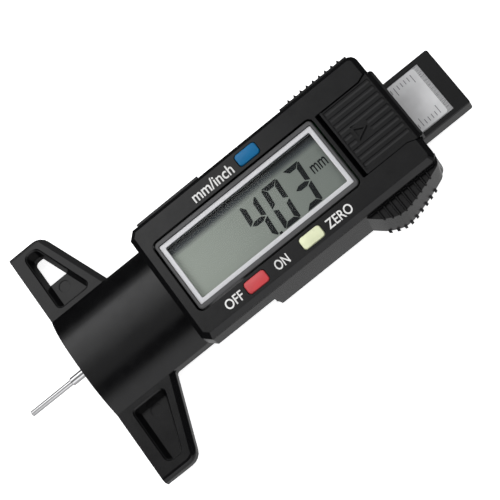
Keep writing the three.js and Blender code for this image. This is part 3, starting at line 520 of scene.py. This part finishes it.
def segment_outline(letter):
    """One bar of a seven-segment digit, in millimetres from the digit's lower left corner."""
    wide, tall, bar, gap = (SEGMENT[k] for k in ("wide", "tall", "bar", "gap"))
    mid = tall / 2
    half = bar / 2
    upright = [
        (0, mid + gap),
        (bar * 0.9, mid + half + gap),
        (bar, tall - bar - gap),
        (bar * 0.3, tall - gap * 2),
        (0, tall - gap * 3),
    ]
    flat = [
        (gap * 1.5, tall),
        (wide - gap * 1.5, tall),
        (wide - bar - gap, tall - bar),
        (bar + gap, tall - bar),
    ]
    middle = [
        (gap * 3, mid),
        (bar + gap, mid + half),
        (wide - bar - gap, mid + half),
        (wide - gap * 3, mid),
        (wide - bar - gap, mid - half),
        (bar + gap, mid - half),
    ]
    shapes = {
        "a": flat,
        "d": [(x, tall - y) for x, y in flat],
        "f": upright,
        "e": [(x, tall - y) for x, y in upright],
        "b": [(wide - x, y) for x, y in upright],
        "c": [(wide - x, tall - y) for x, y in upright],
        "g": middle,
    }
    return shapes[letter]


def lean(points):
    return [(x + y * math.tan(SEGMENT["lean"]), y) for x, y in points]


def clip_below(points, floor):
    """The part of a convex outline that lies above floor."""
    kept = []
    for i, (x, y) in enumerate(points):
        px, py = points[i - 1]
        if (y >= floor) != (py >= floor):
            t = (floor - py) / (y - py)
            kept.append((px + (x - px) * t, floor))
        if y >= floor:
            kept.append((x, y))
    return kept


def display_reading():
    """The lit segments: one piece that lies on the cell, under the window."""
    low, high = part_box("lcd_panel")
    trim_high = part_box("lcd_trim")[1]
    top_y = trim_high.y - READING["from_top"] * MM
    left = trim_high.x - READING["from_right"] * MM
    back = high.z + PRINT_LIFT * MM
    front = high.z + PRINT_THICK * MM
    bm = bmesh.new()
    for i, letters in enumerate(DIGITS):
        for letter in letters:
            points = lean(segment_outline(letter))
            origin_x = left + i * DIGIT_PITCH * MM
            placed = [(origin_x + x * MM, top_y - (SEGMENT["tall"] - y) * MM) for x, y in points]
            placed = clip_below(placed, low.y + READING["sill"] * MM)
            if len(placed) > 2:
                add_prism(bm, placed, back, front)
    x = left + POINT["x"] * MM
    y = top_y + (POINT["y"] - SEGMENT["tall"]) * MM
    side = POINT["side"] * MM
    square = [(x, y), (x + side, y), (x + side, y + side), (x, y + side)]
    add_prism(bm, square, back, front)
    add_piece("display_reading", bm, "ink", "carriage")


def text_piece(name, words, x, y, z, height_mm, width_mm, material, body):
    """Printed words as a thin solid, left end at x and baseline at y, fitted to a cap height and a width."""
    curve = bpy.data.curves.new(name, "FONT")
    curve.body = words
    curve.offset = GLYPH["bold"]
    curve.extrude = GLYPH["half_depth"]
    holder = bpy.data.objects.new(name + "_outline", curve)
    bpy.context.scene.collection.objects.link(holder)
    bpy.context.view_layer.update()
    data = bpy.data.meshes.new_from_object(holder.evaluated_get(bpy.context.evaluated_depsgraph_get()))
    bpy.data.objects.remove(holder)
    xs = [v.co.x for v in data.vertices]
    ys = [v.co.y for v in data.vertices]
    scale_x = width_mm * MM / (max(xs) - min(xs))
    scale_y = height_mm * MM / max(ys)
    scale_z = PRINT_THICK * MM / (2 * GLYPH["half_depth"])
    data.transform(Matrix.Translation((-min(xs), 0.0, GLYPH["half_depth"])))
    data.transform(Matrix.Diagonal((scale_x, scale_y, scale_z, 1.0)))
    data.transform(Matrix.Translation((x, y, z)))
    data.materials.clear()
    data.materials.append(MATERIALS[material])
    data.name = name
    piece = bpy.data.objects.new(name, data)
    bpy.context.scene.collection.objects.link(piece)
    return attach(piece, body)


def legends():
    """The printed words beside each button, each placed from its button's box."""
    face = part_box("front_cover")[1].z + FACE_LIFT * MM
    for name, (button, words, left, height, width) in LEGENDS.items():
        low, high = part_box(button)
        x = (low.x + high.x) / 2 + left * MM
        y = (low.y + high.y) / 2 - LEGEND_DROP[button] * MM
        text_piece(name, words, x, y, face, height, width, "print", "carriage")


def display_unit():
    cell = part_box("lcd_panel")[1].z
    trim_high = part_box("lcd_trim")[1]
    x = trim_high.x - UNIT_SIGN["from_right"] * MM
    y = trim_high.y - UNIT_SIGN["from_top"] * MM
    tall, wide = UNIT_SIGN["tall"], UNIT_SIGN["wide"]
    text_piece("display_unit", "mm", x, y, cell + PRINT_LIFT * MM, tall, wide, "ink", "carriage")


def label_ticks():
    """Plain graduation ticks along both long edges of the label."""
    low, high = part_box("scale_label")
    bm = bmesh.new()
    count = int((high.x - low.x) / MM) - 2  # leaves about 1.5 mm of bare label at each end
    for i in range(count):
        x = high.x - (TICK["first"] + i * TICK["pitch"]) * MM
        length = (TICK["long"] if i % 5 == 0 else TICK["short"]) * MM
        half = TICK["half"] * MM
        for edge, sign in ((high.y - TICK["inset"] * MM, -1), (low.y + TICK["inset"] * MM, 1)):
            y0, y1 = sorted((edge, edge + sign * length))
            points = [(x - half, y0), (x + half, y0), (x + half, y1), (x - half, y1)]
            add_prism(bm, points, high.z + FACE_LIFT * MM, high.z + TICK["front"] * MM)
    add_piece("label_ticks", bm, "tick", "frame")


# ---- stage --------------------------------------------------------------------------------------------

def add_floor():
    bm = bmesh.new()
    bmesh.ops.create_grid(bm, x_segments=1, y_segments=1, size=FLOOR_SIZE)
    data = bpy.data.meshes.new("floor")
    bm.to_mesh(data)
    bm.free()
    data.materials.append(floor_paper())
    floor = bpy.data.objects.new("floor", data)
    floor.location.z = CAD_BOX[0][2] - FLOOR_DROP * MM
    bpy.context.scene.collection.objects.link(floor)


def add_area_light(name, place, size, watts, aim=(0.0, 0.0, 0.0), mirrored=True):
    light = bpy.data.lights.new(name, "AREA")
    light.shape = "RECTANGLE"
    light.size, light.size_y = size
    light.energy = watts
    holder = bpy.data.objects.new(name, light)
    holder.location = place
    toward = Vector(aim) - Vector(place)
    holder.rotation_euler = toward.to_track_quat("-Z", "Y").to_euler()
    holder.visible_glossy = mirrored
    bpy.context.scene.collection.objects.link(holder)


def glow(tree, direction, full_degrees, none_degrees):
    """1 within full_degrees of a direction of the sky, falling to 0 at none_degrees."""
    coords = tree.nodes.new("ShaderNodeTexCoord")
    dot = tree.nodes.new("ShaderNodeVectorMath")
    dot.operation = "DOT_PRODUCT"
    dot.inputs[1].default_value = Vector(direction).normalized()
    tree.links.new(coords.outputs["Generated"], dot.inputs[0])
    node = tree.nodes.new("ShaderNodeMapRange")
    node.interpolation_type = "SMOOTHSTEP"
    node.inputs["From Min"].default_value = math.cos(math.radians(none_degrees))
    node.inputs["From Max"].default_value = math.cos(math.radians(full_degrees))
    tree.links.new(dot.outputs["Value"], node.inputs["Value"])
    return node.outputs["Result"]


def add_sky():
    """A plain studio: soft lights on all sides, dark horizons and a dark hood round the camera."""
    world = bpy.data.worlds.new("studio")
    bpy.context.scene.world = world
    world.use_nodes = True
    tree = world.node_tree
    colour = (SKY_BASE, SKY_BASE, SKY_BASE)
    for direction, full, none, level in SKY:
        colour = colour_mix(tree, glow(tree, direction, full, none), colour, (level, level, level * 1.01))
    tree.links.new(colour, tree.nodes["Background"].inputs["Color"])


def add_camera():
    low, high = (Vector(corner) for corner in CAD_BOX)
    middle = (low + high) / 2
    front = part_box("front_cover")[1].z
    target = Vector((middle.x + CAMERA_AIM.x, middle.y + CAMERA_AIM.y, front))
    back = CAMERA_BACK.normalized()
    level = (Vector((1, 0, 0)) - back * back.x).normalized()
    upright = back.cross(level)
    right = level * math.cos(CAMERA_ROLL) - upright * math.sin(CAMERA_ROLL)
    up = level * math.sin(CAMERA_ROLL) + upright * math.cos(CAMERA_ROLL)
    camera = bpy.data.cameras.new("camera")
    camera.lens = CAMERA_LENS
    camera.clip_start = CAMERA_NEAR
    holder = bpy.data.objects.new("camera", camera)
    turn = Matrix((right, up, back)).transposed().to_4x4()
    holder.matrix_world = Matrix.Translation(target + back * CAMERA_DISTANCE) @ turn
    bpy.context.scene.collection.objects.link(holder)
    bpy.context.scene.camera = holder


def main():
    dress_cad_nodes()
    add_rod()
    display_reading()
    display_unit()
    legends()
    label_ticks()
    add_floor()
    add_sky()
    add_area_light("key_light", KEY_PLACE, KEY_SIZE, KEY_WATTS, KEY_AIM)
    for name, side in (("left_fill", -1), ("right_fill", 1)):
        place = (side * FILL_PLACE[0], FILL_PLACE[1], FILL_PLACE[2])
        add_area_light(name, place, FILL_SIZE, FILL_WATTS, mirrored=False)
    add_camera()
    bpy.context.scene.view_settings.view_transform = "Standard"


main()
